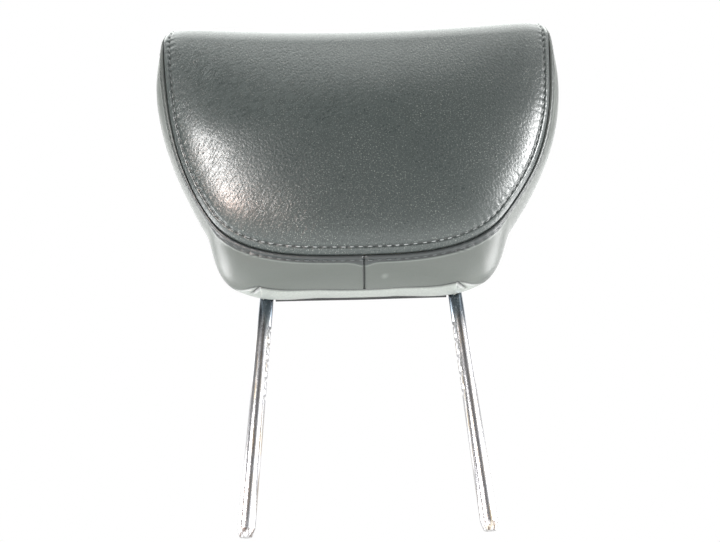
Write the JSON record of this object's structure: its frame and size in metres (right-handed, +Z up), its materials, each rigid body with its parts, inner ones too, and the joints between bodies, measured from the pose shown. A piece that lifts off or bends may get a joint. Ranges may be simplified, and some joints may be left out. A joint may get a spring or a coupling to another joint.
{
  "type": "car headrest",
  "caption": "Padded leather car headrest with top-stitched seams, a moulded core and one bent post rod with locking notches.",
  "frame": {"origin": "midway between the post axes, where the posts leave the cushion", "axes": "+Z up along the posts, -Y the way the cushion's face looks, +X to the right as seen from in front"},
  "size_m": [0.3114, 0.1315, 0.366],
  "materials": {
    "post_chrome": "bright plated steel",
    "core_plastic": "moulded, matt",
    "screw_steel": "zinc plated",
    "foam": "moulded foam, matt",
    "leather_face": "fine pebbled grain, satin",
    "leather_smooth": "smooth, satin",
    "strip_plastic": "extruded, matt"
  },
  "bodies": {
    "root": {"armature_rod": "post_chrome", "core_front_half": "core_plastic", "core_rear_half": "core_plastic", "core_screw_1": "screw_steel", "core_screw_2": "screw_steel", "core_screw_3": "screw_steel", "core_screw_4": "screw_steel", "core_screw_5": "screw_steel", "core_screw_6": "screw_steel", "foam_body": "foam", "front_panel": "leather_face", "back_panel": "leather_smooth", "side_panel_left": "leather_smooth", "side_panel_right": "leather_smooth", "bottom_flap_front": "leather_smooth", "bottom_flap_rear": "leather_smooth", "closing_strip_front": "strip_plastic", "closing_strip_rear": "strip_plastic"}
  },
  "joints": []
}
